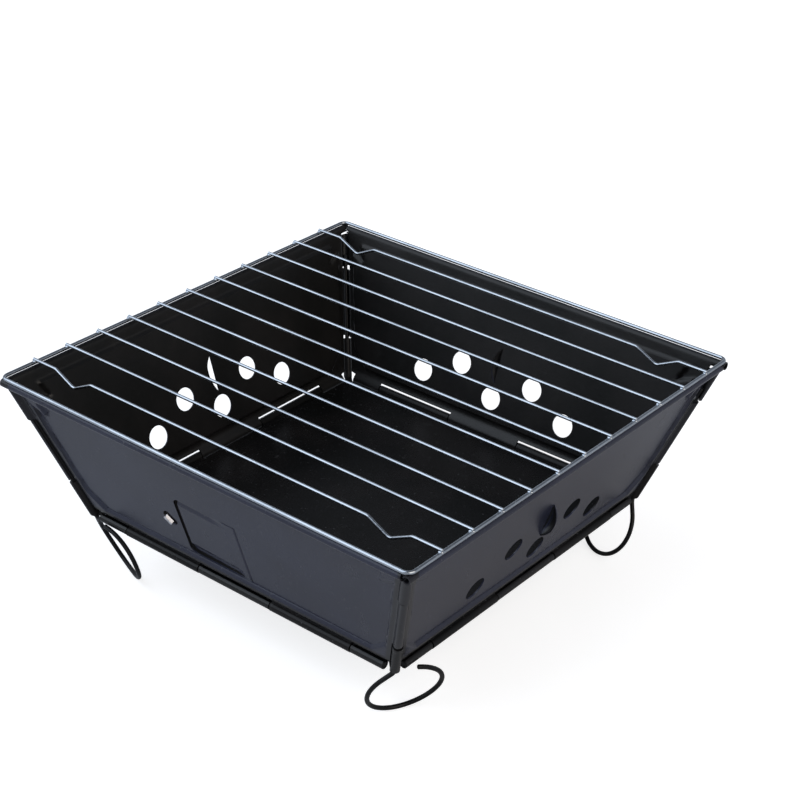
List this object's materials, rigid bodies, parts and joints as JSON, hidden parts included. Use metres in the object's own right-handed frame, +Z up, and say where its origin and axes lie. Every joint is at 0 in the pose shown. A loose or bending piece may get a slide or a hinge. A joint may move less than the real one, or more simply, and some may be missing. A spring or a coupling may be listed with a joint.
{
  "type": "folding charcoal grill",
  "caption": "Square tabletop charcoal grill: hinged flared sheet walls with vents and a small door, loop wire feet in corner clips, and a loose welded wire cooking grid.",
  "frame": {"origin": "centre of the footprint on the ground", "axes": "+Z up, -Y towards the front wall with the vent door, +X towards the wall on the door's hinge side"},
  "size_m": [0.3074, 0.3074, 0.1412],
  "materials": {
    "painted wall": "satin dark slate heat-proof paint",
    "painted base": "satin black heat-proof paint",
    "black leg wire": "semi-gloss black coating",
    "hinge wire": "drawn steel wire",
    "chromed wire": "bright chrome plating",
    "bare steel": "bare steel strip"
  },
  "bodies": {
    "base": {"base_plate": "painted base", "front_hinge_wire": "hinge wire", "right_hinge_wire": "hinge wire", "back_hinge_wire": "hinge wire", "left_hinge_wire": "hinge wire"},
    "front_wall": {"front_wall": "painted wall", "door_hinge_pin": "hinge wire", "door_catch": "bare steel"},
    "right_wall": {"right_wall": "painted wall"},
    "back_wall": {"back_wall": "painted wall"},
    "left_wall": {"left_wall": "painted wall"},
    "vent_door": {"vent_door": "painted wall"},
    "front_right_leg": {"front_right_leg_wire": "black leg wire"},
    "back_right_leg": {"back_right_leg_wire": "black leg wire"},
    "back_left_leg": {"back_left_leg_wire": "black leg wire"},
    "front_left_leg": {"front_left_leg_wire": "black leg wire"},
    "grid": {"grid_frame": "chromed wire", "grid_wire_01": "chromed wire", "grid_wire_02": "chromed wire", "grid_wire_03": "chromed wire", "grid_wire_04": "chromed wire", "grid_wire_05": "chromed wire", "grid_wire_06": "chromed wire", "grid_wire_07": "chromed wire", "grid_wire_08": "chromed wire", "grid_wire_09": "chromed wire", "grid_wire_10": "chromed wire", "grid_wire_11": "chromed wire"}
  },
  "joints": [
    {"name": "front_wall_hinge", "type": "hinge", "parent": "base", "child": "front_wall", "pos_m": [0, -0.118, 0.04319], "axis": [1, 0, 0], "range_deg": [0, 71.3]},
    {"name": "right_wall_hinge", "type": "hinge", "parent": "base", "child": "right_wall", "pos_m": [0.118, 0, 0.04319], "axis": [0, 1, 0], "range_deg": [0, 71.3]},
    {"name": "back_wall_hinge", "type": "hinge", "parent": "base", "child": "back_wall", "pos_m": [0, 0.118, 0.04319], "axis": [-1, 0, 0], "range_deg": [0, 71.3]},
    {"name": "left_wall_hinge", "type": "hinge", "parent": "base", "child": "left_wall", "pos_m": [-0.118, 0, 0.04319], "axis": [0, -1, 0], "range_deg": [0, 71.3]},
    {"name": "vent_door_hinge", "type": "hinge", "parent": "front_wall", "child": "vent_door", "pos_m": [0.01455, -0.12645, 0.07674], "axis": [0, -0.3192, 0.9477], "range_deg": [0, 90]},
    {"name": "front_right_leg_swivel", "type": "hinge", "parent": "base", "child": "front_right_leg", "pos_m": [0.118, -0.118, 0.04319], "axis": [0.3041, -0.3041, 0.9028], "range_deg": [-214.4, 7.1]},
    {"name": "back_right_leg_swivel", "type": "hinge", "parent": "base", "child": "back_right_leg", "pos_m": [0.118, 0.118, 0.04319], "axis": [0.3041, 0.3041, 0.9028], "range_deg": [-220.8, 0.7]},
    {"name": "back_left_leg_swivel", "type": "hinge", "parent": "base", "child": "back_left_leg", "pos_m": [-0.118, 0.118, 0.04319], "axis": [-0.3041, 0.3041, 0.9028], "range_deg": [-221.4, 0.1]},
    {"name": "front_left_leg_swivel", "type": "hinge", "parent": "base", "child": "front_left_leg", "pos_m": [-0.118, -0.118, 0.04319], "axis": [-0.3041, -0.3041, 0.9028], "range_deg": [-221.4, 0.1]},
    {"name": "grid_lift", "type": "slide", "parent": "base", "child": "grid", "axis": [0, 0, 1], "range_m": [0, 0.06]}
  ]
}
